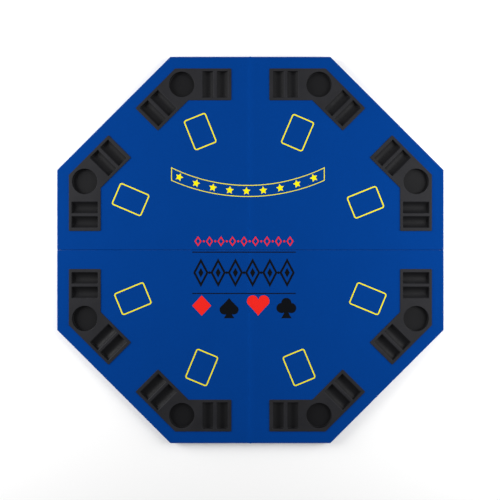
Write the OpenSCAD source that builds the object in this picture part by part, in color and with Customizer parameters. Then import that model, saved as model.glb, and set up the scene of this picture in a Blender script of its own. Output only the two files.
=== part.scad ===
// Folding octagonal poker table top. Four felt-covered panels make the octagon.
// The back and front halves fold underside to underside on steel hinges along the
// seam (the X axis), and each half folds felt to felt across the Y axis, where the
// felt itself is the hinge. A V-shaped plastic tray for chips and a cup drops into
// each corner of the octagon.
// Millimetres. The origin is on the ground under the middle of the top; +Z is up,
// +X is to the right and +Y is to the back.

/* [Table] */
// Distance across the flats of the octagon
table_w = 1220; // [1180:1:1240]
// Gap between the back and front halves, at the seam
seam_gap = 2.4; // [2:0.1:4]
// Gap between the two panels of a half, under the cloth fold
fold_gap = 0.6; // [0.4:0.1:1]

/* [Panel layers] */
// Thickness of the fibreboard panels
board_t = 12; // [12:0.5:15]
// Thickness of the foam underlay
foam_t = 2; // [1:0.5:4]
// Thickness of the felt
felt_t = 1; // [0.6:0.1:1.2]
// Width of the felt hem turned under each panel
hem_w = 30; // [28:1:36]

/* [Chip and cup trays] */
// Margin between the edge of the table and a tray
tray_margin = 38; // [34:1:42]
// Width of a tray's two arms
arm_w = 100; // [98:1:104]
// Length of an arm's outer side, from the bend
arm_l = 177; // [172:1:182]
// Thickness of the rim, which lies on the felt
rim_t = 1.8; // [1.4:0.1:2]
// Width of the rim that rests on the felt
rim_w = 5; // [4:0.5:6]
// Wall thickness below the rim
tray_wall = 1.8; // [1.2:0.1:2]
// Depth of the chip channels and the cup recess
recess_d = 11.5; // [9:0.5:12]
// Radius of a chip channel's round bottom
channel_r = 20.5; // [20.2:0.1:21]
// Length of a chip channel, across the arm
channel_l = 83; // [80:1:84]
// Distance between an arm's two channels
channel_pitch = 45.5; // [44:0.5:47]
// Distance from an arm's end to the middle of its first channel
channel_end = 28.4; // [27:0.1:30]
// Radius of the cup recess
cup_r = 40; // [36:0.5:42]

/* [Seam hinges] */
// Length of each hinge
hinge_l = 76; // [60:1:90]
// Distance from the middle of the table to each hinge's middle
hinge_x = [150, 450]; // [120:1:480]
// Width of a hinge leaf
leaf_w = 26; // [24:1:28]
// Thickness of a hinge leaf
leaf_t = 1.5; // [1.2:0.1:1.6]
// Outer radius of the knuckles
knuckle_r = 3.3; // [3.2:0.05:3.4]
// Radius of the hinge pin
pin_r = 1.6; // [1.4:0.05:1.7]
// Number of knuckles in a hinge
knuckles = 5; // [3:2:7]

/* [Feet] */
// Height of the rubber feet, below the boards
foot_h = 8; // [8:0.1:8.2]
// Radius of a foot where it meets the board
foot_r = 10; // [9:0.5:11]

/* [Hidden] */
SIDE_ANGLE = 22.5; // half the angle between neighbouring sides of the octagon
PANELS = [["back_left", -1, 1], ["back_right", 1, 1], ["front_left", -1, -1], ["front_right", 1, -1]];
HINGES = [1, 2];
TRAYS = ["side", "end"]; // nearer the X axis, and nearer the Y axis

function for_panels(part) = [for (p = PANELS) str(part, "_", p[0])];

// Heights of the layers above the ground
board_z = foot_h;
foam_z = board_z + board_t;
felt_z = foam_z + foam_t;
felt_top = felt_z + felt_t;
hem_z = board_z - felt_t;
rim_top = felt_top + rim_t;
recess_z = rim_top - recess_d;
tray_z = recess_z - tray_wall;

// The octagon's sides lie at this distance from the middle
side = table_w / 2;
// The two parallel outlines of a tray's arms
arm_out = side - tray_margin;
arm_in = arm_out - arm_w;
arm_mid = (arm_out + arm_in) / 2;
// Distance from the middle of a table side to the end of a tray's arm
arm_end = arm_out * tan(SIDE_ANGLE) - arm_l;
// Distance of the cup's axis from the middle of the table
cup_at = arm_mid / cos(SIDE_ANGLE);
// The opening in a panel is this much inside the rim, and the tray's skirt a little more
opening_inset = rim_w - 0.5;
skirt_d = 8;

// The hinge axis hangs below the hem that the leaves lie on, and the knuckles rise a
// hair above the leaves into the seam's gap
axis_drop = knuckle_r - 0.05;
axis_z = hem_z - axis_drop;
pin_play = 0.05;
knuckle_play = 0.4;
knuckle_clear = knuckle_r + 0.6;
knuckle_pitch = hinge_l / knuckles;

// Wood screws. The same 12 mm screw size holds the leaves and the feet
screw_r = 1.6;
screw_l = 12;
csk_r = 3.1;
pan_r = 3.4;
pan_h = 2.3;
recess_l = 3.6;
recess_w = 0.8;
screw_play = 0.03;
leaf_screw_y = 16;
leaf_screw_x = [-27, 0, 27];

// Feet
washer_z = 3.5;
washer_t = 1;
washer_r = 4.3;
bore_r = 4.4;
// Places of the feet, as distances from the Y and X axes. The front panels' feet stand
// beside the back panels', so that they pass each other when the halves fold together.
FEET_BACK = [[18, 556], [380, 408], [556, 46], [62, 62], [250, 240]];
FEET_FRONT = [[44, 556], [408, 380], [528, 46], [96, 96], [290, 210]];

// Staples
staple_w = 10;
wire = 0.6;
staple_leg = 5;
staple_inset = 18;
staple_every = 62;
board_inset = felt_t; // a board is smaller than its felt by the felt's thickness

EPS = 0.01;

// ---- outlines ----

// A quarter of the octagon, in the quarter where x and y are positive.
// inset draws the outer sides in, and the other two are the places of the inner sides.
function quarter(inset, fold_x, seam_y) =
    let (a = side - inset, c = a * tan(SIDE_ANGLE))
    [[fold_x, seam_y], [a, seam_y], [a, c], [c, a], [fold_x, a]];

// A point of a tray's outline in the tray's own frame, where +X runs outwards through
// the table's corner: out is its distance from the middle at right angles to the table's
// side, along its distance from the middle of that side, and arm is 1 or -1.
function arm_point(out, along, arm) = [
    out * cos(SIDE_ANGLE) + along * sin(SIDE_ANGLE),
    arm * (out * sin(SIDE_ANGLE) - along * cos(SIDE_ANGLE))
];

// The V-shaped outline of a tray, drawn in by inset all round
function tray_outline(inset) =
    let (o = arm_out - inset, i = arm_in + inset, e = arm_end + inset)
    [
        arm_point(o, o * tan(SIDE_ANGLE), 1), arm_point(o, e, 1), arm_point(i, e, 1),
        arm_point(i, i * tan(SIDE_ANGLE), 1), arm_point(i, e, -1), arm_point(o, e, -1)
    ];

function tray_angle(t) = (t == "side" ? 1 : 3) * SIDE_ANGLE;

// Draws its children, made for the back right quarter, in panel p's quarter
module in_quarter(p) {
    mirror([p[1] < 0 ? 1 : 0, 0, 0]) mirror([0, p[2] < 0 ? 1 : 0, 0]) children();
}

module slab(points, low, high) {
    translate([0, 0, low]) linear_extrude(high - low) polygon(points);
}

module tray_openings(low, high) {
    for (t = TRAYS) rotate(tray_angle(t)) slab(tray_outline(opening_inset), low, high);
}

function feet(p) = p[2] > 0 ? FEET_BACK : FEET_FRONT;

// ---- screws ----

module cross_recess(depth) {
    for (turn = [0, 90]) rotate(turn)
        translate([-recess_l / 2, -recess_w / 2, -EPS]) cube([recess_l, recess_w, depth + EPS]);
}

// A countersunk screw that points up, with its head's face at z = 0
module countersunk_screw() {
    difference() {
        union() {
            cylinder(h = leaf_t, r1 = csk_r, r2 = screw_r, $fn = 32);
            cylinder(h = screw_l, r = screw_r, $fn = 32);
        }
        cross_recess(1);
    }
}

module pan_head_screw() {
    difference() {
        union() {
            cylinder(h = pan_h, r = pan_r, $fn = 32);
            cylinder(h = pan_h + screw_l, r = screw_r, $fn = 32);
        }
        cross_recess(1.2);
    }
}

// Where the hinge screws stand, for the left panel of one half
module at_hinge_screws() {
    for (x = hinge_x, dx = leaf_screw_x) translate([x + dx, leaf_screw_y, 0]) children();
}

module hinge_screw_holes(p, low, high) {
    if (p[1] < 0) at_hinge_screws()
        translate([0, 0, low]) cylinder(h = high - low, r = screw_r + screw_play, $fn = 32);
}

// ---- panels ----

module board(p) {
    color([0.62, 0.48, 0.34]) in_quarter(p) difference() {
        slab(quarter(board_inset, fold_gap / 2, seam_gap / 2 + felt_t), board_z, foam_z);
        tray_openings(board_z - 1, foam_z + 1);
        hinge_screw_holes(p, board_z - 1, hem_z - leaf_t + screw_l);
        for (f = feet(p)) translate([f.x, f.y, board_z - 1])
            cylinder(h = 1 + washer_z + screw_l - board_z, r = screw_r + screw_play, $fn = 32);
    }
}

module foam(p) {
    color([0.85, 0.85, 0.82]) in_quarter(p) difference() {
        slab(quarter(board_inset, fold_gap / 2, seam_gap / 2 + felt_t), foam_z, felt_z);
        tray_openings(foam_z - 1, felt_z + 1);
    }
}

// The felt covers the foam, turns down over the outer sides and the seam side, and ends
// in a hem under the board. It has no wall at the fold, which it runs across.
module felt(p) {
    color([0.0, 0.25, 0.58]) in_quarter(p) difference() {
        slab(quarter(0, fold_gap / 2, seam_gap / 2), hem_z, felt_top);
        slab(quarter(board_inset, -1, seam_gap / 2 + felt_t), board_z, felt_z);
        slab(quarter(hem_w, -1, seam_gap / 2 + hem_w), hem_z - 1, board_z + 1);
        tray_openings(felt_z - 1, felt_top + 1);
        hinge_screw_holes(p, hem_z - 1, board_z + 1);
    }
}

// ---- trays ----

// Puts its children at each chip channel's middle, with +X along the channel
module at_channels() {
    for (arm = [-1, 1], k = [0, 1]) rotate(arm * SIDE_ANGLE)
        translate([arm_mid, -arm * (arm_end + channel_end + k * channel_pitch), 0])
            children();
}

// The space of a channel or, with a wall added, its outside
module channel(wall) {
    translate([-channel_l / 2 - wall, 0, recess_z + channel_r]) rotate([0, 90, 0])
        cylinder(h = channel_l + 2 * wall, r = channel_r + wall, $fn = 96);
}

module tray(p, t) {
    color([0.18, 0.18, 0.19]) in_quarter(p) rotate(tray_angle(t)) difference() {
        union() {
            slab(tray_outline(0), felt_top, rim_top);
            difference() {
                slab(tray_outline(rim_w), rim_top - skirt_d, rim_top - EPS);
                slab(tray_outline(rim_w + tray_wall), rim_top - skirt_d - 1, felt_top);
            }
            intersection() {
                at_channels() channel(tray_wall);
                slab(tray_outline(rim_w), tray_z - 1, felt_top + EPS);
            }
            translate([cup_at, 0, tray_z])
                cylinder(h = felt_top - tray_z + EPS, r = cup_r + tray_wall, $fn = 96);
        }
        at_channels() channel(0);
        translate([cup_at, 0, recess_z]) cylinder(h = recess_d + 1, r = cup_r, $fn = 96);
    }
}

// ---- seam hinges ----

module knuckle_row(first) {
    for (k = [first : 2 : knuckles - 1])
        translate([k * knuckle_pitch - hinge_l / 2 + knuckle_play / 2, 0, 0]) children();
}

// A leaf lies under the hem on the +Y side of the axis; first is 0 or 1, its first knuckle
module leaf(first) {
    own_l = knuckle_pitch - knuckle_play;
    difference() {
        union() {
            translate([-hinge_l / 2, knuckle_clear, hem_z - leaf_t])
                cube([hinge_l, leaf_w - knuckle_clear, leaf_t]);
            knuckle_row(first) {
                translate([0, 0, hem_z - leaf_t]) cube([own_l, knuckle_clear + EPS, leaf_t]);
            }
            knuckle_row(first) translate([0, 0, axis_z]) rotate([0, 90, 0])
                cylinder(h = own_l, r = knuckle_r, $fn = 48);
        }
        translate([-hinge_l, 0, axis_z]) rotate([0, 90, 0])
            cylinder(h = 2 * hinge_l, r = pin_r + pin_play, $fn = 48);
        for (dx = leaf_screw_x) translate([dx, leaf_screw_y, hem_z - leaf_t])
            cylinder(h = leaf_t, r1 = csk_r + screw_play, r2 = screw_r + screw_play, $fn = 32);
    }
}

module hinge_leaf_back(h) {
    color([0.72, 0.72, 0.74]) translate([-hinge_x[h - 1], 0, 0]) leaf(0);
}

module hinge_leaf_front(h) {
    color([0.72, 0.72, 0.74]) translate([-hinge_x[h - 1], 0, 0]) mirror([0, 1, 0]) leaf(1);
}

// The pin has a low head at each end, outside the back leaf's end knuckles
module hinge_pin(h) {
    head_r = pin_r + 0.7;
    head_t = 0.8;
    color([0.6, 0.6, 0.62]) translate([-hinge_x[h - 1], 0, axis_z]) rotate([0, 90, 0]) {
        cylinder(h = hinge_l, r = pin_r, center = true, $fn = 48);
        for (s = [-1, 1]) translate([0, 0, s * (hinge_l + head_t) / 2])
            cylinder(h = head_t, r = head_r, center = true, $fn = 48);
    }
}

module hinge_screws(half) {
    color([0.78, 0.78, 0.8]) mirror([1, 0, 0]) mirror([0, half < 0 ? 1 : 0, 0])
        at_hinge_screws() translate([0, 0, hem_z - leaf_t]) countersunk_screw();
}

// ---- feet ----

module at_feet(p) {
    in_quarter(p) for (f = feet(p)) translate([f.x, f.y, 0]) children();
}

module feet_of(p) {
    color([0.08, 0.08, 0.08]) at_feet(p) difference() {
        cylinder(h = foot_h, r1 = foot_r - 1, r2 = foot_r, $fn = 64);
        translate([0, 0, -1]) cylinder(h = washer_z + washer_t + 1, r = bore_r, $fn = 48);
        cylinder(h = foot_h + 1, r = screw_r + 0.3, $fn = 32);
    }
}

module foot_washers(p) {
    color([0.75, 0.75, 0.77]) at_feet(p) translate([0, 0, washer_z]) difference() {
        cylinder(h = washer_t, r = washer_r, $fn = 48);
        translate([0, 0, -1]) cylinder(h = washer_t + 2, r = screw_r + 0.3, $fn = 32);
    }
}

module foot_screws(p) {
    color([0.78, 0.78, 0.8]) at_feet(p) translate([0, 0, washer_z - pan_h]) pan_head_screw();
}

// ---- staples ----

// A staple with its crown along X, under the hem, and its legs driven up into the board
module staple() {
    translate([-staple_w / 2, -wire / 2, -wire]) cube([staple_w, wire, wire]);
    for (s = [-1, 1]) translate([s * (staple_w - wire) / 2 - wire / 2, -wire / 2, -wire])
        cube([wire, wire, staple_leg + wire]);
}

// True where a hinge leaf covers the hem of panel p
function under_leaf(p, x, y) =
    p[1] < 0 && y < leaf_w + 5
    && len([for (h = hinge_x) if (abs(x - h) < hinge_l / 2 + staple_w) h]) > 0;

// Staples follow the outer sides and the seam side of the panel
module hem_staples(p) {
    edge = quarter(staple_inset, staple_inset, seam_gap / 2 + staple_inset);
    color([0.8, 0.8, 0.82]) in_quarter(p) for (k = [0 : len(edge) - 2]) {
        run = edge[k + 1] - edge[k];
        count = max(1, round(norm(run) / staple_every));
        for (i = [0 : count - 1]) {
            at = edge[k] + run * (i + 0.5) / count;
            if (!under_leaf(p, at.x, at.y))
                translate([at.x, at.y, hem_z]) rotate(atan2(run.y, run.x)) staple();
        }
    }
}

// ---- assembly ----

for (p = PANELS) board(p);
for (p = PANELS) foam(p);
for (p = PANELS) felt(p);
for (p = PANELS, t = TRAYS) tray(p, t);
for (h = HINGES) hinge_leaf_back(h);
for (h = HINGES) hinge_leaf_front(h);
for (h = HINGES) hinge_pin(h);
hinge_screws(1);  // hinge_screws_back
hinge_screws(-1);  // hinge_screws_front
for (p = PANELS) feet_of(p);
for (p = PANELS) foot_washers(p);
for (p = PANELS) foot_screws(p);
for (p = PANELS) hem_staples(p);
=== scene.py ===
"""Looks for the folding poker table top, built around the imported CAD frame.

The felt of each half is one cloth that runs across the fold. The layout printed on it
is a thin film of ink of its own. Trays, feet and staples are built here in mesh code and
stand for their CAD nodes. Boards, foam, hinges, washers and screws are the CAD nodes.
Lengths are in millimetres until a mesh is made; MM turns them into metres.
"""

import math

import bmesh
import bpy
import numpy as np
from mathutils import Matrix, Vector
from mathutils.geometry import delaunay_2d_cdt


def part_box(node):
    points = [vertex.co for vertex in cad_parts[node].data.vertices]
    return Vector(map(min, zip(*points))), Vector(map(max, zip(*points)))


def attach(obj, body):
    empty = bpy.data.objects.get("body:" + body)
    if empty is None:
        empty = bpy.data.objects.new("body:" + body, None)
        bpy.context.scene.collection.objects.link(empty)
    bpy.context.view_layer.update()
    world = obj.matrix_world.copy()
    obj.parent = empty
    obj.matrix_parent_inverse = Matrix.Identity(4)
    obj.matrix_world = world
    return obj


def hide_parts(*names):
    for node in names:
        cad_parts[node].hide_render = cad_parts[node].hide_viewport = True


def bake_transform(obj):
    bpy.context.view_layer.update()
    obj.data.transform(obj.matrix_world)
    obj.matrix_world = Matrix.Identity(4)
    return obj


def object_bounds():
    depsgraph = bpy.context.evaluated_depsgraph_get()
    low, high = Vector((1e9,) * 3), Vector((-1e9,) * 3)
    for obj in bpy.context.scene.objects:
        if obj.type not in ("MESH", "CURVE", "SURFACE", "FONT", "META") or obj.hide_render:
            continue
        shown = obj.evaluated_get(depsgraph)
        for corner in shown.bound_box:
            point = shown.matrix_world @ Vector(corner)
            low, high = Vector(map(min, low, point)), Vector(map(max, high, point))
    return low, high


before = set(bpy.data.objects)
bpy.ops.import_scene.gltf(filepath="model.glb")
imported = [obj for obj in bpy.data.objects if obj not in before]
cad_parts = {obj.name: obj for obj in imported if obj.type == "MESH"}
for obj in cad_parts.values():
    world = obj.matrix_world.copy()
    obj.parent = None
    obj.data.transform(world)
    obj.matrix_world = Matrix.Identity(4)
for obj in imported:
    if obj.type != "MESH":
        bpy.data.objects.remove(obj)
CAD_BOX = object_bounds()
MM = 0.001

# ---------------------------------------------------------------- dimensions

EIGHTH = math.radians(22.5)  # half the angle between neighbouring sides
SIDE = CAD_BOX[1].x / MM  # from the middle to each side of the octagon
FELT_LOW, FELT_TOP = (c.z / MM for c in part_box("felt_back_left"))
RIM_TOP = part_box("tray_back_left_side")[1].z / MM
GROUND = 0.0

# Felt
FELT_T = 0.9
SQUEEZED = 0.05  # the share of its thickness left where tongues press at the seam
EDGE_R = 2.6  # rounding of the felt over the panels' edges
HEM_R = 1.4  # its rounding on to the underside
HEM_W = 30.0
SEAM_WALL = 0.04  # the pile of the two halves' felt all but meets at the seam
FOLD_REACH = 2.8  # the felt is loose this far on each side of the fold
FOLD_STRIPS = 12
RIDGE, RIDGE_HALF, RIDGE_FADE = 0.5, 10.0, 20.0  # it stands a little proud of the foam
NOTCH = 4.0  # half the width of the tongue of felt that crosses the fold
TONGUE = 4.8  # its length over the edge
PUCKER = 1.6  # how far the tongue stands out at the octagon's sides
RETURN_GAP = 0.35  # half the slit between the turned-down felt of two panels
RUN_STEP = 40.0  # about this far between the points along a side

# Trays, in the sizes of the CAD trays that they stand for
TRAY_MARGIN, ARM_W, ARM_L = 38.0, 100.0, 177.0
ARM_OUT = SIDE - TRAY_MARGIN
ARM_IN = ARM_OUT - ARM_W
ARM_MID = (ARM_OUT + ARM_IN) / 2
ARM_END = ARM_OUT * math.tan(EIGHTH) - ARM_L
RIM_T = RIM_TOP - FELT_TOP
RECESS_D = 11.5
WALL = 1.8
CHANNEL_R, CHANNEL_L, CHANNEL_PITCH, CHANNEL_END = 20.5, 83.0, 45.5, 28.4
CUP_R, CUP_AT = 40.0, ARM_MID / math.cos(EIGHTH)
SKIRT_IN, SKIRT_T, SKIRT_D = 5.0, 1.5, 8.0
OPENING_IN = 4.5  # the felt's opening is smaller than the tray by this much all round
TRAY_CORNER, CHANNEL_CORNER = 3.0, 2.2
TRAY_EDGE, LIP, CUP_FOOT = 0.8, 1.0, 2.0  # roundings

# Printed layout
INK = 0.12  # the ink stands this far above the felt
INK_ROOT = 0.1  # and reaches this far into it


def srgb(*values):
    """An sRGB colour, 0 to 255, as the linear colour that shaders use."""
    out = [v / 255 for v in values]
    return tuple(
        v / 12.92 if v <= 0.04045 else ((v + 0.055) / 1.055) ** 2.4 for v in out
    ) + (1.0,)


# ---------------------------------------------------------------- mesh helpers


def make_object(name, vertices, faces, uvs=None):
    """A mesh object from millimetre points. uvs are one pair a vertex, in metres."""
    mesh = bpy.data.meshes.new(name)
    mesh.from_pydata([tuple(c * MM for c in v) for v in vertices], [], faces)
    if uvs is not None:
        layer = mesh.uv_layers.new(name="flat")
        index = np.zeros(len(mesh.loops), np.int32)
        mesh.loops.foreach_get("vertex_index", index)
        layer.data.foreach_set("uv", np.array(uvs, np.float32)[index].ravel())
    mesh.update()
    obj = bpy.data.objects.new(name, mesh)
    bpy.context.scene.collection.objects.link(obj)
    return obj


def weld(obj, distance=0.004):
    """Joins points that lie on each other and drops the faces that this closes up."""
    bm = bmesh.new()
    bm.from_mesh(obj.data)
    bmesh.ops.remove_doubles(bm, verts=bm.verts, dist=distance * MM)
    bmesh.ops.dissolve_degenerate(bm, edges=bm.edges, dist=distance * MM)
    bmesh.ops.recalc_face_normals(bm, faces=bm.faces)
    bm.to_mesh(obj.data)
    bm.free()


def smooth(obj, angle=35):
    """Smooth shading with edges sharper than angle left crisp."""
    obj.data.shade_smooth()
    obj.data.set_sharp_from_angle(angle=math.radians(angle))


def even_normals(obj):
    """Lets large flat faces keep their flat shading beside small rounded ones."""
    mod = obj.modifiers.new("even_normals", "WEIGHTED_NORMAL")
    mod.keep_sharp = True
    mod.weight = 100


def inside(points, loops):
    """Which points lie inside the loops, counting a loop in a loop as a hole."""
    odd = np.zeros(len(points), bool)
    x, y = points[:, 0], points[:, 1]
    for loop in loops:
        a = np.array(loop, float)
        b = np.roll(a, -1, axis=0)
        for (x0, y0), (x1, y1) in zip(a, b):
            if y0 != y1:
                crosses = (y0 > y) != (y1 > y)
                odd ^= crosses & (x < (x1 - x0) * (y - y0) / (y1 - y0) + x0)
    return odd


def triangulated(loops, lines=()):
    """Points, triangles and the triangles' middles, with edges along all the loops and
    lines. Triangles outside the loops are there too."""
    points, edges = [], []
    for loop in loops:
        start = len(points)
        points += loop
        edges += [(start + i, start + (i + 1) % len(loop)) for i in range(len(loop))]
    for line in lines:
        start = len(points)
        points += line
        edges += [(start + i, start + i + 1) for i in range(len(line) - 1)]
    made = delaunay_2d_cdt([Vector(p[:2]) for p in points], edges, [], 0, 1e-4)
    flat = np.array([tuple(v) for v in made[0]], float)
    triangles = np.array([tuple(f) for f in made[2]], int)
    return flat, triangles, flat[triangles].mean(axis=1)


def filled(loops, lines=()):
    """Triangles that fill the loops, with extra edges along the lines."""
    flat, triangles, middles = triangulated(loops, lines)
    return flat, triangles[inside(middles, loops)]


def rim_edges(triangles):
    """The edges that only one triangle uses, in that triangle's own direction."""
    seen = {}
    for t in triangles:
        for a, b in ((t[0], t[1]), (t[1], t[2]), (t[2], t[0])):
            seen.setdefault((min(a, b), max(a, b)), []).append((a, b))
    return [uses[0] for uses in seen.values() if len(uses) == 1]


def arc(centre, radius, start, end, count):
    """Points on an arc, angles in degrees, both ends included."""
    x, y = centre
    angles = np.radians(np.linspace(start, end, count))
    return [(x + radius * math.cos(a), y + radius * math.sin(a)) for a in angles]


def turned(points, angle, shift=(0, 0)):
    """2-D points turned about the origin, then shifted."""
    c, s = math.cos(angle), math.sin(angle)
    return [(x * c - y * s + shift[0], x * s + y * c + shift[1]) for x, y in points]


def box_loop(x0, y0, x1, y1):
    return [(x0, y0), (x1, y0), (x1, y1), (x0, y1)]


def rounded(corners, radius, steps=4):
    """A convex or concave outline with its corners rounded."""
    out = []
    count = len(corners)
    for i, corner in enumerate(corners):
        p = Vector(corner)
        before = (Vector(corners[i - 1]) - p).normalized()
        after = (Vector(corners[(i + 1) % count]) - p).normalized()
        half = before.angle(after) / 2
        reach = radius / math.tan(half)
        a, b = p + before * reach, p + after * reach
        centre = p + (before + after).normalized() * radius / math.sin(half)
        start = a - centre
        sweep = start.angle_signed(b - centre)
        for k in range(steps + 1):
            v = start.copy()
            v.rotate(Matrix.Rotation(-sweep * k / steps, 2))
            out.append(tuple(centre + v))
    return out


# ---------------------------------------------------------------- felt


def half_outline(inset):
    """The back half's outline, from the seam's left end round to the right end."""
    a = SIDE - inset
    c = a * math.tan(EIGHTH)
    s = SEAM_WALL + inset
    return [(-a, s), (a, s), (a, c), (c, a), (-c, a), (-a, c)]


def border():
    """Points along the flat top's edge, each with its outward normal and the vector to
    the outline drawn one millimetre out. A corner has several points, one a normal."""
    corners = [Vector(p) for p in half_outline(EDGE_R)]
    count = len(corners)
    turns = 6
    out = []
    for i, p in enumerate(corners):
        last, following = corners[i - 1], corners[(i + 1) % count]
        d0, d1 = (p - last).normalized(), (following - p).normalized()
        n0, n1 = Vector((d0.y, -d0.x)), Vector((d1.y, -d1.x))
        mitre = (n0 + n1) / (1 + n0.dot(n1))
        bend = n0.angle(n1)
        for k in range(turns + 1):
            n = n0.copy()
            n.rotate(Matrix.Rotation(bend * k / turns, 2))
            out.append((p, n, mitre))
        run = following - p
        steps = max(2, round(run.length / RUN_STEP))
        stops = [p + run * j / steps for j in range(1, steps)]
        if abs(run.y) < 1e-6:  # the seam side and the back side cross the fold
            stops = [q for q in stops if abs(q.x) > RIDGE_HALF]
            stops += [Vector((x, p.y)) for x in fold_lines() if abs(x) >= NOTCH]
            stops.sort(key=lambda q: (q - p).length)
        out += [(q, n1, n1) for q in stops]
    return out


def edge_profile():
    """How the felt runs from the flat top, over the edge and under the board: its
    distance out from the flat top's edge, its height, and how far along the cloth."""
    line = [(0.0, FELT_TOP)]
    for a in np.linspace(15, 90, 6):
        t = math.radians(a)
        line.append((EDGE_R * math.sin(t), FELT_TOP - EDGE_R * (1 - math.cos(t))))
    line.append((EDGE_R, (FELT_TOP + FELT_LOW) / 2))
    for a in np.linspace(0, 90, 5):
        t = math.radians(a)
        line.append((EDGE_R - HEM_R * (1 - math.cos(t)), FELT_LOW + HEM_R * (1 - math.sin(t))))
    line += [(0.0, FELT_LOW), (EDGE_R - HEM_W, FELT_LOW)]
    along = [0.0]
    for (o0, z0), (o1, z1) in zip(line, line[1:]):
        along.append(along[-1] + math.hypot(o1 - o0, z1 - z0))
    return [(o, z, s) for (o, z), s in zip(line, along)]


def crosses_fold(a, b):
    return max(abs(a.x), abs(b.x)) < NOTCH + 0.01 and abs(a.y - b.y) < 1e-6


def ridge(x, y):
    """How far the felt, and the ink on it, stands up at a point near the fold."""
    if abs(x) >= RIDGE_HALF:
        return 0.0
    inner, outer = SEAM_WALL + EDGE_R, SIDE - EDGE_R
    share = min(1.0, max(0.0, min(abs(y) - inner, outer - abs(y)) / RIDGE_FADE))
    across = (1 + math.cos(math.pi * x / RIDGE_HALF)) / 2
    return RIDGE * across * share**2 * (3 - 2 * share)


def fold_lines():
    """Where, across the fold, the felt and the ink have edges to rise and bend at."""
    loose = np.linspace(-FOLD_REACH, FOLD_REACH, FOLD_STRIPS + 1)
    rise = np.linspace(NOTCH, RIDGE_HALF, 4)
    return [float(x) for x in (*-rise[::-1], *loose, *rise)]


def over_edge(x, y):
    """Where a point of the flat top ends up: the tongue at each end of the fold bends
    down over the edge, and stands out a little where nothing is beside it."""
    back, seam = SIDE - EDGE_R, SEAM_WALL + EDGE_R
    if seam <= y <= back:
        return (x, y, FELT_TOP + ridge(x, y))
    outer = y > back
    edge, sign = (back, 1) if outer else (seam, -1)
    r = EDGE_R + (PUCKER * math.cos(math.pi * x / NOTCH / 2) ** 2 if outer else 0.0)
    run = abs(y - edge)
    t = min(run / r, math.pi / 2)
    drop = r * (1 - math.cos(t)) + max(0.0, run - r * math.pi / 2)
    return (x, edge + sign * r * math.sin(t), FELT_TOP - drop)


def felt_top_triangles():
    """The back half's top in the flat, with its tongues and the trays' openings."""
    loop = []
    edge = [p for p, _, _ in border()]
    for p, following in zip(edge, edge[1:] + edge[:1]):
        if not loop or (Vector(loop[-1]) - p).length > 1e-6:
            loop.append(tuple(p))
        if crosses_fold(p, following):
            out = p.y + (TONGUE if p.y > SIDE / 2 else -TONGUE)
            loop += [(p.x, out), (following.x, out)]
    openings = [turned(tray_outline(OPENING_IN), EIGHTH * k) for k in (1, 3, 5, 7)]
    seam, back = SEAM_WALL + EDGE_R, SIDE - EDGE_R
    fade, bends = np.linspace(0, RIDGE_FADE, 6), np.linspace(0, TONGUE, 8)
    middle = np.linspace(seam + RIDGE_FADE, back - RIDGE_FADE, 12)[1:-1]
    rows = [*(seam + fade), *middle, *(back - fade[::-1])]
    tongues = [*(seam - bends[:0:-1]), *rows, *(back + bends[1:])]
    lines = []
    for x in fold_lines():
        reach = tongues if abs(x) < NOTCH else rows
        lines.append([(x, float(y)) for y in reach])
    xs = [x for x in fold_lines() if abs(x) <= NOTCH]
    for y in (*(seam - bends[:-1]), *(back + bends[:-1])):
        lines.append([(x, float(y)) for x in xs])
    return filled([loop, *openings], lines)


def finish_felt(obj):
    """Smooth shading and the cloth's thickness, which is squeezed thin where the two
    halves' tongues press on each other at the seam."""
    smooth(obj, 50)
    share = obj.vertex_groups.new(name="thickness")
    for v in obj.data.vertices:
        x, y, z = v.co / MM
        at_seam = abs(x) < NOTCH - 0.01 and abs(y) < EDGE_R and z > FELT_TOP - TONGUE
        share.add([v.index], SQUEEZED if at_seam else 1.0, "REPLACE")
    thick = obj.modifiers.new("thickness", "SOLIDIFY")
    thick.thickness = FELT_T * MM
    thick.offset = -1
    thick.vertex_group = share.name
    even_normals(obj)
    obj.data.materials.append(felt_blue)


def felt_half(name, sign):
    """One half's felt as a single cloth, in its flat pattern's own UVs."""
    flat, triangles = felt_top_triangles()
    vertices = [over_edge(x, y) for x, y in flat]
    uvs = [(x, y) for x, y in flat]
    faces = [tuple(int(i) for i in t) for t in triangles]
    ring, profile = border(), edge_profile()
    first = len(vertices)
    for p, n, mitre in ring:
        for out, z, along in profile:
            place = p + (n * out if out > 0 else mitre * out)
            vertices.append((place.x, place.y, z))
            uvs.append(tuple(p + mitre * along))
    steps = len(profile)
    for i in range(len(ring)):
        j = (i + 1) % len(ring)
        if crosses_fold(ring[i][0], ring[j][0]):
            continue
        for k in range(steps - 1):
            a, b = first + i * steps + k, first + j * steps + k
            faces.append((a, a + 1, b + 1, b))
    vertices = [(x, sign * y, z) for x, y, z in vertices]
    uvs = [(u * MM, sign * v * MM) for u, v in uvs]
    obj = make_object(name, vertices, faces, uvs)
    weld(obj)
    if max(obj.data.polygons, key=lambda f: f.area).normal.z < 0:
        obj.data.flip_normals()
    finish_felt(obj)
    return obj


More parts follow.
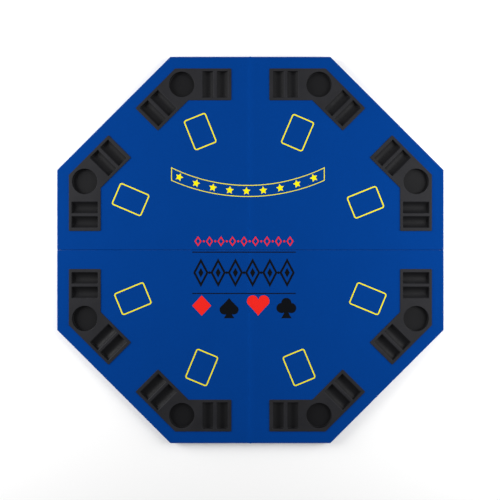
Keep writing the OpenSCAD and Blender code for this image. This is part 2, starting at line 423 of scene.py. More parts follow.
def felt_return(body):
    """The felt turned down behind a panel's two tongues, and on under the board. It
    starts near the foot of the tongue's bend, so the tongue hides its edge."""
    side = 1 if body.endswith("right") else -1
    sign = 1 if body.startswith("back") else -1
    profile = [q for q in edge_profile() if q[1] < FELT_TOP - 0.9 * EDGE_R]
    xs = np.linspace(NOTCH, RETURN_GAP, 4)
    vertices, uvs, faces = [], [], []
    for edge, outward in ((SIDE - EDGE_R, 1), (SEAM_WALL + EDGE_R, -1)):
        for i, x in enumerate(xs):
            for k, (out, z, along) in enumerate(profile):
                vertices.append((side * x, sign * (edge + outward * out), z))
                uvs.append((side * x * MM, sign * (edge + outward * along) * MM))
                if i and k:
                    b = len(vertices) - 1
                    a = b - len(profile)
                    strip = (a - 1, a, b, b - 1)
                    faces.append(strip if side * sign * outward > 0 else strip[::-1])
    obj = make_object(f"felt_return_{body}", vertices, faces, uvs)
    finish_felt(obj)
    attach(obj, body)
    return obj


# ---------------------------------------------------------------- printed layout


def film(name, shapes, material):
    """A film of ink. Each shape is a list of loops, the first its outline and the rest
    its holes. Where a shape crosses the fold it has the felt's own strips."""
    vertices, faces = [], []
    for loops in shapes:
        outer = np.array(loops[0], float)
        low, high = outer.min(axis=0) - 1, outer.max(axis=0) + 1
        lines = [
            [(x, float(low[1])), (x, float(high[1]))]
            for x in fold_lines()
            if low[0] < x < high[0]
        ]
        flat, triangles = filled(loops, lines)
        used = sorted(set(triangles.ravel().tolist()))
        at = {old: i for i, old in enumerate(used)}
        start, size = len(vertices), len(used)
        for rise in (INK, -INK_ROOT):
            vertices += [(*flat[i], FELT_TOP + rise + ridge(*flat[i])) for i in used]
        for t in triangles:
            a, b, c = (start + at[i] for i in t)
            faces += [(a, b, c), (c + size, b + size, a + size)]
        for a, b in rim_edges([tuple(at[i] for i in t) for t in triangles]):
            faces.append((start + b, start + a, start + a + size, start + b + size))
    uvs = [(x * MM, y * MM) for x, y, _ in vertices]
    obj = make_object(name, vertices, faces, uvs)
    obj.data.materials.append(material)
    return obj


def rounded_box(w, h, radius):
    return rounded(box_loop(-w / 2, -h / 2, w / 2, h / 2), radius, 6)


CARD_W, CARD_H, CARD_R, CARD_LINE = 97.5, 71.0, 6.0, 3.8  # on the line's middle
CARD_AT = 401.0  # from the top's middle to a card box's
BACK_SHIFT, BACK_TURN = (-9.1, 1.2), math.radians(-0.67)  # the back print sits askew


def card_box(angle):
    """A rounded outline that marks where a player's cards lie, long side outwards."""
    shift = (CARD_AT * math.cos(angle), CARD_AT * math.sin(angle))
    loops = []
    for grow in (CARD_LINE, -CARD_LINE):
        box = rounded_box(CARD_W + grow, CARD_H + grow, CARD_R + grow / 2)
        loop = turned(box, angle, shift)
        loops.append(turned(loop, BACK_TURN, BACK_SHIFT) if math.sin(angle) > 0 else loop)
    return loops


# The band's middle and arcs, and the row of stars along it
BAND_X, BAND_HALF, BAND_LINE = -7.8, 240.8, 2.3
UPPER_LOW, UPPER_R = 203.7, 549.0
LOWER_LOW, LOWER_R = 168.7, 595.6
STAR_X, STAR_LOW, STAR_ROW_R, STAR_ROW_TURN = -12.3, 185.8, 547.0, math.radians(-0.34)
STARS, STAR_PITCH, STAR_R, STAR_WAIST = 9, 53.05, 13.2, 0.48


def sag(x, low, radius):
    """The height of an arc that is lowest, at low, in the band's middle."""
    return low + radius - math.sqrt(radius**2 - x**2)


def band():
    """The curved band's outline: two arcs closed by upright ends."""
    loops = []
    for grow in (BAND_LINE / 2, -BAND_LINE / 2):
        xs = np.linspace(-BAND_HALF - grow, BAND_HALF + grow, 49)
        top = [(BAND_X + x, sag(x, UPPER_LOW, UPPER_R) + grow) for x in xs]
        low = [(BAND_X + x, sag(x, LOWER_LOW, LOWER_R) - grow) for x in xs[::-1]]
        loops.append(top + low)
    return loops


def star(x):
    """A five-pointed star that leans with the row's arc."""
    points = []
    for k in range(10):
        r = STAR_R * (1 if k % 2 == 0 else STAR_WAIST)
        a = math.radians(90 + 36 * k) + math.asin(x / STAR_ROW_R)
        points.append((x + r * math.cos(a), sag(x, 0, STAR_ROW_R) + r * math.sin(a)))
    return [turned(points, STAR_ROW_TURN, (STAR_X, STAR_LOW))]


def stars():
    return [star((k - (STARS - 1) / 2) * STAR_PITCH) for k in range(STARS)]


RULE_LEFT, RULE_RIGHT, RULE_HIGH, RULE_LOW, RULE_T = -183.3, 143.1, -6.8, -137.0, 3.2


def rule(y):
    return [box_loop(RULE_LEFT, y - RULE_T / 2, RULE_RIGHT, y + RULE_T / 2)]


def lozenge(x, y, w, h):
    return [(x + w / 2, y), (x, y + h / 2), (x - w / 2, y), (x, y - h / 2)]


def bead(x, y, radius):
    return [arc((x, y), radius, 0, 345, 24)]


def lozenge_row(y, w, h, count, line, bead_r, inner_share=0):
    """A row of open lozenges with round beads between, from rule end to rule end.
    inner_share is the size of the solid lozenge inside each, or 0 for none."""
    out = []
    pitch = (RULE_RIGHT - RULE_LEFT) / count
    open_share = 1 - 2 * line * math.hypot(w, h) / (w * h)
    for k in range(count):
        x = RULE_LEFT + pitch * (k + 0.5)
        out.append([lozenge(x, y, w, h), lozenge(x, y, w * open_share, h * open_share)])
        if inner_share:
            out.append([lozenge(x, y, w * inner_share, h * inner_share)])
        if k:
            out.append(bead(x - pitch / 2, y, bead_r))
    return out


PIP_W, PIP_H, HEART_W, CLUB_W, CLUB_R = 60.0, 64.5, 71.0, 62.6, 16.1
PIP_AT = {
    "diamond": (-153.5, -175.3),
    "spade": (-67.2, -183.0),
    "heart": (24.6, -175.3),
    "club": (113.4, -183.0),
}
STEM_TOP, STEM_WAIST, STEM_FOOT = -8.0, 5.6, 16.8


def heart(w, h):
    """A heart from two round lobes and sides that run in to the point."""
    r = w / 4 * 1.04  # the lobes overlap a little in the middle
    cx, cy = w / 2 - r, h / 2 - r
    lobe = arc((cx, cy), r, 130, -28, 17)
    x0, y0 = lobe[-1]
    side = [
        (x0 * (1 - t) ** 1.12, y0 - (y0 + h / 2) * t) for t in np.linspace(0.12, 0.94, 9)
    ]
    right = [(0.0, cy + r * 0.28)] + [p for p in lobe if p[0] > 0.6] + side
    left = [(-x, y) for x, y in reversed(right[1:])]
    return right + [(0.0, -h / 2)] + left


def stem():
    """The foot of a spade or club: a stalk with hollow sides that flares at the base."""
    low = -PIP_H / 2
    right = [
        (STEM_WAIST + (STEM_FOOT - STEM_WAIST) * t**1.6, STEM_TOP + (low - STEM_TOP) * t)
        for t in np.linspace(0, 1, 9)
    ]
    return right + [(-x, y) for x, y in reversed(right)]


def joined(outlines):
    """The outer outline of several shapes that overlap, as one loop."""
    flat, triangles, middles = triangulated(outlines)
    keep = np.zeros(len(triangles), bool)
    for loop in outlines:
        keep |= inside(middles, [loop])
    following = dict(rim_edges(triangles[keep]))
    start = max(following, key=lambda i: flat[i][1])
    loop, at = [start], following[start]
    while at != start:
        loop.append(at)
        at = following[at]
    return [tuple(flat[i]) for i in loop]


def spade():
    """A heart turned over, with the stem below it."""
    leaf_share, rise_share = 0.82, 0.09  # of the pip's height
    body = [(x, PIP_H * rise_share - y) for x, y in heart(PIP_W, PIP_H * leaf_share)]
    return joined([body, stem()])


def club():
    side = (CLUB_W / 2 - CLUB_R, 0.0)
    top = (0.0, PIP_H / 2 - CLUB_R)
    lobes = [arc(c, CLUB_R, 0, 348, 31) for c in (top, side, (-side[0], 0.0))]
    return joined([*lobes, stem()])


def pip(kind):
    """One suit's outline, in its place in the row."""
    shapes = {
        "diamond": lozenge(0, 0, PIP_W, PIP_H),
        "heart": heart(HEART_W, PIP_H),
        "spade": spade(),
        "club": club(),
    }
    return [turned(shapes[kind], 0, PIP_AT[kind])]


# ---------------------------------------------------------------- trays


def arm_point(out, along, arm):
    """A point of a tray in the tray's own frame, where +X runs out to the octagon's
    corner. out is its distance square to one of the corner's two sides, and along runs
    from that side's middle to the corner."""
    c, s = math.cos(EIGHTH), math.sin(EIGHTH)
    return (out * c + along * s, arm * (out * s - along * c))


def tray_outline(inset):
    o, i, e = ARM_OUT - inset, ARM_IN + inset, ARM_END + inset
    t = math.tan(EIGHTH)
    return [
        arm_point(o, o * t, 1),
        arm_point(o, e, 1),
        arm_point(i, e, 1),
        arm_point(i, i * t, 1),
        arm_point(i, e, -1),
        arm_point(o, e, -1),
    ]


class Shell:
    """Collects rings of points and the bands of faces between them."""

    def __init__(self):
        self.vertices, self.faces = [], []

    def ring(self, points, z):
        start = len(self.vertices)
        self.vertices += [(x, y, z) for x, y in points]
        return list(range(start, len(self.vertices)))

    def bridge(self, a, b):
        n = len(a)
        for i in range(n):
            j = (i + 1) % n
            self.faces.append((a[i], a[j], b[j], b[i]))

    def stack(self, outlines):
        """Rings joined in order; outlines are (points, z) pairs. Returns the last."""
        last = None
        for points, z in outlines:
            now = self.ring(points, z)
            if last:
                self.bridge(last, now)
            last = now
        return last

    def fill(self, loops, z):
        flat, triangles = filled(loops)
        start = len(self.vertices)
        self.vertices += [(x, y, z) for x, y in flat]
        self.faces += [tuple(start + int(i) for i in t) for t in triangles]


def channel_places():
    """(angle, middle) of each chip channel in the tray's frame."""
    for arm in (-1, 1):
        for k in (0, 1):
            along = ARM_END + CHANNEL_END + k * CHANNEL_PITCH
            middle = turned([(ARM_MID, -arm * along)], arm * EIGHTH)[0]
            yield arm * EIGHTH, middle


def channel_ring(half_l, half_w, place):
    angle, middle = place
    corner = min(CHANNEL_CORNER, half_w * 0.9)
    box = box_loop(-half_l, -half_w, half_l, half_w)
    return turned(rounded(box, corner, 4), angle, middle)


def channel_rings(grow, place):
    """Outlines from a channel's mouth down its round bottom, as (points, height). With
    grow 0 they are the upper face, with its lip, and otherwise the face underneath."""
    r = CHANNEL_R + grow
    axis_up = CHANNEL_R - RECESS_D  # the bottom's axis is this far above the rim
    top = RIM_T if grow else 0.0
    draft, flare, below_lip = 0.05, 0.9, 0.3
    rings = []
    half_l = CHANNEL_L / 2 + grow
    edge = math.acos((axis_up + top) / r)
    if not grow:
        for a in np.linspace(0, 75, 5):
            t = math.radians(a)
            out, depth = LIP * (1 - math.sin(t)), LIP * (1 - math.cos(t))
            rings.append((half_l + out, r * math.sin(edge) + out * flare, depth))
        top = rings[-1][2] + below_lip
        edge = math.acos((axis_up + top) / r)
    for t in np.linspace(edge, 0.05, 12):
        depth = r * math.cos(t) - axis_up
        rings.append((half_l - draft * (depth - top), r * math.sin(t), depth))
    return [(channel_ring(l, w, place), RIM_TOP - d) for l, w, d in rings]


def circle(radius, count=72):
    return arc((CUP_AT, 0), radius, 0, 360 - 360 / count, count)


def cup_rings():
    """The cup recess: a rounded lip, a wall and a rounded foot."""
    turns = np.radians(np.linspace(0, 90, 6))
    lip = [(CUP_R + LIP * (1 - math.sin(t)), LIP * (1 - math.cos(t))) for t in turns]
    foot = []
    for t in turns:
        out, up = CUP_FOOT * (1 - math.cos(t)), CUP_FOOT * (1 - math.sin(t))
        foot.append((CUP_R - out, RECESS_D - up))
    return [(circle(r), RIM_TOP - d) for r, d in lip + foot]


def tray_loop(inset):
    """The tray's outline with rounded corners, tighter the further in it is."""
    return rounded(tray_outline(inset), max(TRAY_CORNER - inset * 0.2, 1.2), 5)


def tray_shell():
    """One tray in its own frame: lip, channels, cup recess, skirt and underside."""
    shell = Shell()
    places = list(channel_places())
    rim = []
    for t in np.radians(np.linspace(0, 90, 5)):
        inset, drop = TRAY_EDGE * (1 - math.sin(t)), TRAY_EDGE * (1 - math.cos(t))
        rim.append((tray_loop(inset), RIM_TOP - drop))
    shell.stack([*rim, (tray_loop(0.0), FELT_TOP)])
    mouths = []
    for place in places:
        rings = channel_rings(0.0, place)
        mouths.append(rings[0][0])
        last = shell.stack(rings)
        shell.faces.append(tuple(last))
    cup = cup_rings()
    shell.fill([rim[0][0], *mouths, cup[0][0]], RIM_TOP)
    shell.faces.append(tuple(shell.stack(cup)))
    under = []  # the mouths of the channels' undersides
    for place in places:
        rings = channel_rings(WALL, place)
        under.append(rings[0][0])
        shell.faces.append(tuple(shell.stack(rings)))
    low, chamfer = RIM_TOP - RECESS_D - WALL, 1.0
    wide, narrow = circle(CUP_R + WALL), circle(CUP_R + WALL - chamfer)
    belly = [(wide, FELT_TOP), (wide, low + chamfer), (narrow, low)]
    shell.faces.append(tuple(shell.stack(belly)))
    skirt_low = RIM_TOP - SKIRT_D
    outer, inner = tray_loop(SKIRT_IN), tray_loop(SKIRT_IN + SKIRT_T)
    shell.stack([(outer, FELT_TOP), (outer, skirt_low), (inner, skirt_low), (inner, FELT_TOP)])
    shell.fill([tray_loop(0.0), outer], FELT_TOP)
    shell.fill([inner, *under, belly[0][0]], FELT_TOP)
    return shell


def make_trays(material):
    shell = tray_shell()
    for k in range(8):
        angle = EIGHTH * (2 * k + 1)
        half = "back" if math.sin(angle) > 0 else "front"
        hand = "right" if math.cos(angle) > 0 else "left"
        place = "side" if abs(math.cos(angle)) > abs(math.sin(angle)) else "end"
        body = f"{half}_{hand}"
        obj = make_object(f"chip_tray_{body}_{place}", shell.vertices, shell.faces)
        weld(obj)
        obj.data.transform(Matrix.Rotation(angle, 4, "Z"))
        obj.data.materials.append(material)
        smooth(obj, 32)
        even_normals(obj)
        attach(obj, body)
        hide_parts(f"tray_{body}_{place}")


# ---------------------------------------------------------------- feet and staples

FOOT_H, FOOT_LOW_R, FOOT_R, BORE_R, BORE_H, HOLE_R = 8.0, 9.0, 10.0, 4.4, 4.5, 1.9
WIRE_R, CROWN_Z, LEG_AT, LEG_TOP, BEND_R = 0.3, 6.7, 4.7, 12.0, 0.5


def solids(node):
    """The points of each separate solid in a CAD node, in millimetres."""
    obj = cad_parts[node]
    bm = bmesh.new()
    bm.from_mesh(obj.data)
    bmesh.ops.remove_doubles(bm, verts=bm.verts, dist=0.001 * MM)
    seen, out = set(), []
    for first in bm.verts:
        if first in seen:
            continue
        seen.add(first)
        group = [first]
        for v in group:
            for edge in v.link_edges:
                other = edge.other_vert(v)
                if other not in seen:
                    seen.add(other)
                    group.append(other)
        out.append(np.array([obj.matrix_world @ v.co for v in group]) / MM)
    bm.free()
    return out


def foot_profile():
    """A foot's section as (radius, height): bore, rounded sole, flared side, top, hole."""
    lip, sole = 0.4, 0.9
    line = [(HOLE_R, BORE_H), (BORE_R, BORE_H)]
    for a in (0, 45, 90):
        t = math.radians(a)
        line.append((BORE_R + lip * (1 - math.cos(t)), lip * (1 - math.sin(t))))
    for a in (0, 30, 60, 90):
        t = math.radians(a)
        line.append((FOOT_LOW_R - sole * (1 - math.sin(t)), sole * (1 - math.cos(t))))
    line += [(FOOT_R, FOOT_H - 0.4), (FOOT_R - 0.3, FOOT_H), (HOLE_R, FOOT_H)]
    return line


def rubber_feet(body, material):
    """The panel's feet, as one piece that stands where the CAD's feet stand."""
    shell = Shell()
    for points in solids(f"feet_{body}"):
        x, y, _ = (points.min(axis=0) + points.max(axis=0)) / 2
        rings = [(arc((x, y), r, 0, 348, 30), z) for r, z in foot_profile()]
        shell.stack([*rings, rings[0]])
    stand_in(f"rubber_feet_{body}", shell, material, "feet", body)


def staple_path():
    """A staple's middle line as (along, height, direction of travel)."""
    left = [(-LEG_AT, LEG_TOP, -math.pi / 2)]
    for a in (0, 30, 60, 90):
        t = math.radians(a)
        along = -LEG_AT + BEND_R * (1 - math.cos(t))
        left.append((along, CROWN_Z + BEND_R * (1 - math.sin(t)), t - math.pi / 2))
    return left + [(-along, z, -turn) for along, z, turn in reversed(left)]


def staple_wires(body, material):
    """The panel's staples as round wire, in the places of the CAD's staples."""
    shell = Shell()
    for points in solids(f"hem_staples_{body}"):
        flat = points[:, :2]
        centre = (flat.min(axis=0) + flat.max(axis=0)) / 2
        spread = np.linalg.svd(flat - flat.mean(axis=0))[2][0]
        run, across = Vector((*spread, 0)), Vector((-spread[1], spread[0], 0))
        last = None
        for along, z, turn in staple_path():
            middle = Vector((*centre, z)) + run * along
            upright = run * -math.sin(turn) + Vector((0, 0, 1)) * math.cos(turn)
            start = len(shell.vertices)
            for k in range(6):
                t = math.radians(60 * k + 30)
                point = middle + (across * math.cos(t) + upright * math.sin(t)) * WIRE_R
                shell.vertices.append(tuple(point))
            now = list(range(start, start + 6))
            if last:
                shell.bridge(last, now)
            else:
                shell.faces.append(tuple(now))
            last = now
        shell.faces.append(tuple(last))
    stand_in(f"staple_wires_{body}", shell, material, "hem_staples", body)


def stand_in(name, shell, material, node, body):
    """A piece on one panel that replaces that panel's CAD node."""
    obj = make_object(name, shell.vertices, shell.faces)
    weld(obj)
    obj.data.materials.append(material)
    smooth(obj, 50)
    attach(obj, body)
    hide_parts(f"{node}_{body}")


# ---------------------------------------------------------------- materials, in metres


def new_material(name, colour, roughness, **inputs):
    mat = bpy.data.materials.new(name)
    mat.use_nodes = True
    shader = mat.node_tree.nodes["Principled BSDF"]
    shader.inputs["Base Color"].default_value = colour
    shader.inputs["Roughness"].default_value = roughness
    for key, value in inputs.items():
        shader.inputs[key.replace("_", " ")].default_value = value
    mat.diffuse_color = colour
    return mat, mat.node_tree, shader


def coordinates(tree, source, scale=(1, 1, 1), turn=0.0):
    """Texture coordinates in metres, from the flat pattern's UVs or the rest shape."""
    where = tree.nodes.new("ShaderNodeTexCoord")
    mapping = tree.nodes.new("ShaderNodeMapping")
    mapping.inputs["Scale"].default_value = scale
    mapping.inputs["Rotation"].default_value = (0, 0, math.radians(turn))
    tree.links.new(where.outputs[source], mapping.inputs["Vector"])
    return mapping.outputs["Vector"]


def noise(tree, vector, scale, detail=3.0, rough=0.55, distortion=0.0):
    node = tree.nodes.new("ShaderNodeTexNoise")
    feed(tree, node, {"Scale": scale, "Detail": detail, "Roughness": rough})
    feed(tree, node, {"Distortion": distortion, "Vector": vector})
    return node.outputs["Fac"]


def feed(tree, node, inputs):
    """Gives a node's sockets their numbers and colours, or links outputs to them."""
    for key, value in inputs.items():
        if isinstance(value, bpy.types.NodeSocket):
            tree.links.new(value, node.inputs[key])
        else:
            node.inputs[key].default_value = value


def remap(tree, value, low, high, to_low, to_high):
    node = tree.nodes.new("ShaderNodeMapRange")
    feed(tree, node, {"Value": value, "From Min": low, "From Max": high})
    feed(tree, node, {"To Min": to_low, "To Max": to_high})
    return node.outputs["Result"]


def mix_colour(tree, factor, a, b, blend_type="MIX"):
    """Two colours, or a colour and an output, mixed by an output or a number."""
    node = tree.nodes.new("ShaderNodeMix")
    node.data_type = "RGBA"
    node.blend_type = blend_type
    share, first, second, result = 0, 6, 7, 2  # the sockets that an RGBA mix uses
    feed(tree, node, {share: factor, first: a, second: b})
    return node.outputs[result]


def washed(tree, shade, amount, low, high, colour, most=1.0):
    """The shade, mixed towards a colour where the amount rises from low to high."""
    return mix_colour(tree, remap(tree, amount, low, high, 0, most), shade, colour)


def maths(tree, operation, a, b):
    node = tree.nodes.new("ShaderNodeMath")
    node.operation = operation
    feed(tree, node, {0: a, 1: b})
    return node.outputs[0]


def bump(tree, shader, height, strength, distance):
    node = tree.nodes.new("ShaderNodeBump")
    feed(tree, node, {"Strength": strength, "Distance": distance, "Height": height})
    tree.links.new(node.outputs["Normal"], shader.inputs["Normal"])


def scaled(colour, by):
    return tuple(min(1.0, c * by) for c in colour[:3]) + (1.0,)


def felt_fibres(tree):
    """Short matted fibres that lie every way, as one height."""
    height = None
    for turn, scale in ((12, 1300), (73, 1450), (134, 1600)):
        flat = coordinates(tree, "UV", (1, 0.34, 1), turn)
        layer = noise(tree, flat, scale, 3, 0.62, 2.2)
        height = maths(tree, "MAXIMUM", height, layer) if height else layer
    return height


def felt_material(name, colour):
    """Needled felt: matted fibres, faint clouds of shade and a soft sheen. Along the fold
    it is a little lighter, from creased nap and a painted sheen."""
    mat, tree, shader = new_material(name, colour, 0.95, Sheen_Weight=0.1, Sheen_Roughness=0.5)
    shader.inputs["Sheen Tint"].default_value = scaled(colour, 2.0)
    shader.inputs["Specular IOR Level"].default_value = 0.03
    flat = coordinates(tree, "UV")
    fibres = felt_fibres(tree)
    tufts = noise(tree, flat, 240, 3, 0.6, 0.5)
    clouds = noise(tree, flat, 9, 2, 0.5)
    shade = washed(tree, scaled(colour, 0.74), fibres, 0.46, 0.76, scaled(colour, 1.28))
    shade = washed(tree, shade, tufts, 0.35, 0.68, scaled(colour, 1.15), 0.2)
    shade = washed(tree, shade, clouds, 0.35, 0.65, scaled(colour, 0.84), 0.2)
    # painted sheen, partly creased nap: the felt is a little lighter along the fold
    parts = tree.nodes.new("ShaderNodeSeparateXYZ")
    tree.links.new(flat, parts.inputs["Vector"])
    off_fold = maths(tree, "ABSOLUTE", parts.outputs["X"], 0.0)
    crease_and_sheen = remap(tree, off_fold, 3 * MM, 15 * MM, 1, 0)
    shade = mix_colour(tree, crease_and_sheen, shade, (1.06, 1.06, 1.06, 1), "MULTIPLY")
    tree.links.new(shade, shader.inputs["Base Color"])
    height = maths(tree, "ADD", fibres, maths(tree, "MULTIPLY", tufts, 0.5))
    bump(tree, shader, height, 0.4, 0.0003)
    return mat


def ink_material(name, colour):
    """Screen-printed ink that soaks into the felt, so the fibres show through."""
    mat, tree, shader = new_material(name, colour, 0.85)
    shader.inputs["Specular IOR Level"].default_value = 0.08
    fibres = felt_fibres(tree)
    worn = noise(tree, coordinates(tree, "UV"), 260, 4, 0.65)
    shade = washed(tree, scaled(colour, 0.84), fibres, 0.46, 0.76, scaled(colour, 1.1))
    shade = washed(tree, shade, worn, 0.52, 0.75, scaled(colour, 0.66), 0.22)
    tree.links.new(shade, shader.inputs["Base Color"])
    bump(tree, shader, fibres, 0.25, 0.0002)
    return mat


def plastic_material(name, colour):
    """Moulded plastic with a fine grain. Handling and dust pale its face, and painted
    shade darkens it below the rim, in its recesses."""
    mat, tree, shader = new_material(name, colour, 0.5)
    shader.inputs["Specular IOR Level"].default_value = 0.14
    place = coordinates(tree, "Object")
    grain = noise(tree, place, 2600, 2, 0.6)
    patches = noise(tree, place, 14, 4, 0.6)
    streaks = noise(tree, coordinates(tree, "Object", (1, 1, 0.3)), 90, 3, 0.6, 2.0)
    shade = washed(tree, scaled(colour, 0.88), patches, 0.35, 0.7, scaled(colour, 1.18))
    shade = washed(tree, shade, grain, 0.4, 0.7, scaled(colour, 1.35), 0.35)
    # painted shade: the plastic turns darker below the rim, in the channels and the cup recess
    parts = tree.nodes.new("ShaderNodeSeparateXYZ")
    tree.links.new(place, parts.inputs["Vector"])
    low, high = (RIM_TOP - 5) * MM, RIM_TOP * MM
    shade = washed(tree, scaled(colour, 0.42), parts.outputs["Z"], low, high, shade)
    tree.links.new(shade, shader.inputs["Base Color"])
    rubbed = remap(tree, streaks, 0.5, 0.7, 0.0, 0.07)
    rough = maths(tree, "ADD", remap(tree, patches, 0.3, 0.7, 0.5, 0.64), rubbed)
    tree.links.new(rough, shader.inputs["Roughness"])
    bump(tree, shader, grain, 0.25, 0.00008)
    return mat


def fibreboard_material(name, colour):
    """Medium-density fibreboard: pressed fibres, flecks, and darker cut pores."""
    mat, tree, shader = new_material(name, colour, 0.82)
    place = coordinates(tree, "Object")
    fibres = noise(tree, coordinates(tree, "Object", (1, 1, 2.6)), 520, 6, 0.7, 0.8)
    flecks = noise(tree, place, 1500, 2, 0.5)
    clouds = noise(tree, place, 12, 3, 0.6)
    shade = washed(tree, scaled(colour, 0.72), fibres, 0.3, 0.7, scaled(colour, 1.22))
    shade = washed(tree, shade, flecks, 0.62, 0.72, scaled(colour, 0.35), 0.8)
    shade = washed(tree, shade, clouds, 0.35, 0.65, scaled(colour, 0.8), 0.3)
    tree.links.new(shade, shader.inputs["Base Color"])
    bump(tree, shader, fibres, 0.25, 0.0003)
    return mat


def foam_material(name, colour):
    """Closed-cell foam, with its cut cells."""
    mat, tree, shader = new_material(name, colour, 0.9)
    place = coordinates(tree, "Object")
    cells = tree.nodes.new("ShaderNodeTexVoronoi")
    cells.inputs["Scale"].default_value = 1400
    tree.links.new(place, cells.inputs["Vector"])
    depth = cells.outputs["Distance"]
    shade = washed(tree, scaled(colour, 0.7), depth, 0.0, 0.8, colour)
    tree.links.new(shade, shader.inputs["Base Color"])
    bump(tree, shader, depth, 0.4, 0.0003)
    return mat


def steel_material(name, colour, roughness, along=(1, 1, 1)):
    """Zinc-plated steel: faint rolling marks and cloudy plating."""
    mat, tree, shader = new_material(name, colour, roughness, Metallic=1.0)
    place = coordinates(tree, "Object")
    marks = noise(tree, coordinates(tree, "Object", along), 700, 4, 0.6)
    clouds = noise(tree, place, 160, 4, 0.65, 0.5)
    shade = washed(tree, scaled(colour, 0.9), clouds, 0.35, 0.7, scaled(colour, 1.06))
    tree.links.new(shade, shader.inputs["Base Color"])
    rolled = remap(tree, marks, 0.3, 0.7, roughness - 0.07, roughness + 0.1)
    rough = maths(tree, "ADD", rolled, remap(tree, clouds, 0.4, 0.7, 0, 0.06))
    tree.links.new(rough, shader.inputs["Roughness"])
    bump(tree, shader, marks, 0.15, 0.00005)
    return mat


def rubber_material(name, colour):
    """Moulded rubber with a powdery bloom."""
    mat, tree, shader = new_material(name, colour, 0.78)
    place = coordinates(tree, "Object")
    bloom = noise(tree, place, 220, 5, 0.65)
    grain = noise(tree, place, 2400, 2, 0.5)
    shade = washed(tree, colour, bloom, 0.4, 0.75, scaled(colour, 2.4))
    tree.links.new(shade, shader.inputs["Base Color"])
    bump(tree, shader, grain, 0.2, 0.0001)
    return mat


BLUE = srgb(2, 59, 136)
YELLOW = srgb(255, 240, 3)
RED = srgb(240, 38, 30)
BLACK = srgb(7, 10, 15)

felt_blue = felt_material("felt_blue", BLUE)
ink_yellow = ink_material("ink_yellow", YELLOW)
ink_red = ink_material("ink_red", RED)
ink_black = ink_material("ink_black", BLACK)
tray_plastic = plastic_material("tray_plastic", srgb(34, 34, 37))
fibreboard = fibreboard_material("fibreboard", srgb(150, 118, 84))
foam = foam_material("foam", srgb(214, 214, 206))
hinge_steel = steel_material("hinge_steel", (0.56, 0.56, 0.58, 1), 0.36, (0.12, 1, 1))
zinc = steel_material("zinc_plate", (0.62, 0.62, 0.64, 1), 0.3)
rubber = rubber_material("foot_rubber", srgb(26, 26, 27))

# ---------------------------------------------------------------- felt and layout


def cross_fold(obj):
    """Bakes the piece's transform into its mesh."""
    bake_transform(obj)


def felt_area():
    """The flat cut's area in square metres, and its turn-under in millimetres. It is
    half an octagon with that all round, less the trays' openings."""
    turn = edge_profile()[-1][2] - EDGE_R
    a = SIDE
    half = 4 * a * a * math.tan(EIGHTH)
    round_it = 8 * a * math.tan(EIGHTH) + 2 * a
    outline = np.array(tray_outline(OPENING_IN))
    following = np.roll(outline, -1, axis=0)
    hole = abs((outline[:, 0] * following[:, 1] - following[:, 0] * outline[:, 1]).sum()) / 2
    return (half + round_it * turn - 4 * hole) * MM * MM, turn


area, turn_under = felt_area()
for half, sign in (("back", 1), ("front", -1)):
    returns = [felt_return(f"{half}_{hand}") for hand in ("left", "right")]
    cloth = felt_half(f"felt_cloth_{half}", sign)
    cross_fold(cloth)
    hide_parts(f"felt_{half}_left", f"felt_{half}_right")

CORNERS = [EIGHTH * (2 * k + 1) for k in range(8)]
RED_ROW = lozenge_row(y=27.5, w=22.0, h=32.0, count=9, line=3.4, bead_r=3.2)
BLACK_ROW = lozenge_row(
    y=-71.5, w=48.0, h=91.0, count=6, line=6.5, bead_r=4.2, inner_share=0.34
)
PRINTS = [
    ("print_card_boxes_back", "back", [card_box(a) for a in CORNERS[:4]], ink_yellow),
    ("print_card_boxes_front", "front", [card_box(a) for a in CORNERS[4:]], ink_yellow),
    ("print_band", "back", [band()], ink_yellow),
    ("print_stars", "back", stars(), ink_yellow),
    ("print_red_row", "back", RED_ROW, ink_red),
    ("print_red_pips", "front", [pip("diamond"), pip("heart")], ink_red),
    ("print_black_row", "front", [rule(RULE_HIGH), *BLACK_ROW, rule(RULE_LOW)], ink_black),
    ("print_black_pips", "front", [pip("spade"), pip("club")], ink_black),
]
for name, half, shapes, ink in PRINTS:
    piece = film(name, shapes, ink)
    cross_fold(piece)

make_trays(tray_plastic)
for body in ("back_left", "back_right", "front_left", "front_right"):
    rubber_feet(body, rubber)
    staple_wires(body, zinc)

# ---------------------------------------------------------------- CAD nodes


def ease_edges(obj, width=0.2):
    """Breaks the sharp edges of a CAD node with modifiers, so it catches the light."""
    join = obj.modifiers.new("join", "WELD")
    join.merge_threshold = 0.002 * MM
    ease = obj.modifiers.new("ease", "BEVEL")
    ease.width = width * MM
    ease.segments = 2
    ease.limit_method = "ANGLE"
    ease.angle_limit = math.radians(50)
    ease.harden_normals = True


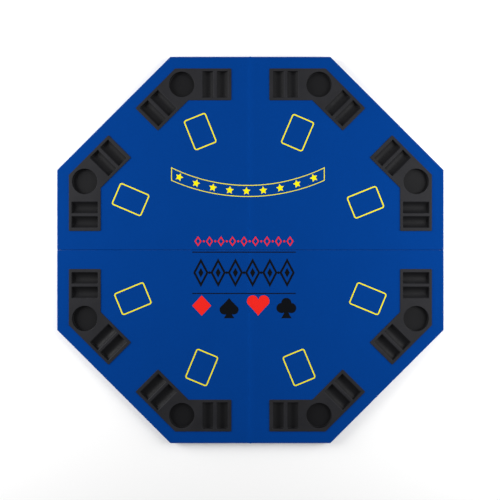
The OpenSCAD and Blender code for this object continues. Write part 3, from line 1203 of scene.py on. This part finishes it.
FINISH = {
    "board": fibreboard,
    "foam": foam,
    "hinge_leaf": hinge_steel,
    "hinge_pin": hinge_steel,
    "hinge_screws": zinc,
    "foot_washers": zinc,
    "foot_screws": zinc,
}
for node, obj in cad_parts.items():
    for start, material in FINISH.items():
        if node.startswith(start):
            obj.data.materials.clear()
            obj.data.materials.append(material)
    if node.startswith(("hinge_leaf", "hinge_pin")):
        ease_edges(obj)

# ---------------------------------------------------------------- stage, in metres

FLOOR_SIZE = 24
PALE, WHITE = (0.9, 0.9, 0.9, 1), (1, 1, 1, 1)


def make_stage():
    bpy.ops.mesh.primitive_plane_add(size=FLOOR_SIZE, location=(0, 0, GROUND))
    floor = bpy.context.active_object
    floor.name = "floor"
    paper, _, shader = new_material("floor_paper", PALE, 0.9, Emission_Strength=0.12)
    shader.inputs["Emission Color"].default_value = WHITE
    floor.data.materials.append(paper)
    world = bpy.data.worlds.new("world")
    bpy.context.scene.world = world
    world.use_nodes = True
    feed(world.node_tree, world.node_tree.nodes["Background"], {"Color": WHITE, "Strength": 0.28})


def area_light(name, place, size, energy):
    light = bpy.data.lights.new(name, "AREA")
    light.shape = "RECTANGLE"
    light.size, light.size_y = size
    light.energy = energy
    obj = bpy.data.objects.new(name, light)
    bpy.context.scene.collection.objects.link(obj)
    obj.location = place
    obj.rotation_euler = (Vector(place) * -1).to_track_quat("-Z", "Y").to_euler()
    return obj


make_stage()
bpy.context.scene.view_settings.view_transform = "Standard"
area_light("light_left", (-2.2, 0.45, 0.85), (1.2, 1.6), 66)
area_light("light_right", (1.65, 0.17, 0.92), (1.2, 1.6), 34)
area_light("light_back", (0.1, 1.8, 1.55), (2.2, 1.0), 8)

CAMERA_X, CAMERA_UP = -0.0012, 1.54  # above the felt
camera = bpy.data.cameras.new("camera")
camera.sensor_width = 36
camera.lens = 35.16
camera_object = bpy.data.objects.new("camera", camera)
bpy.context.scene.collection.objects.link(camera_object)
camera_object.location = (CAMERA_X, 0, FELT_TOP * MM + CAMERA_UP)
bpy.context.scene.camera = camera_object
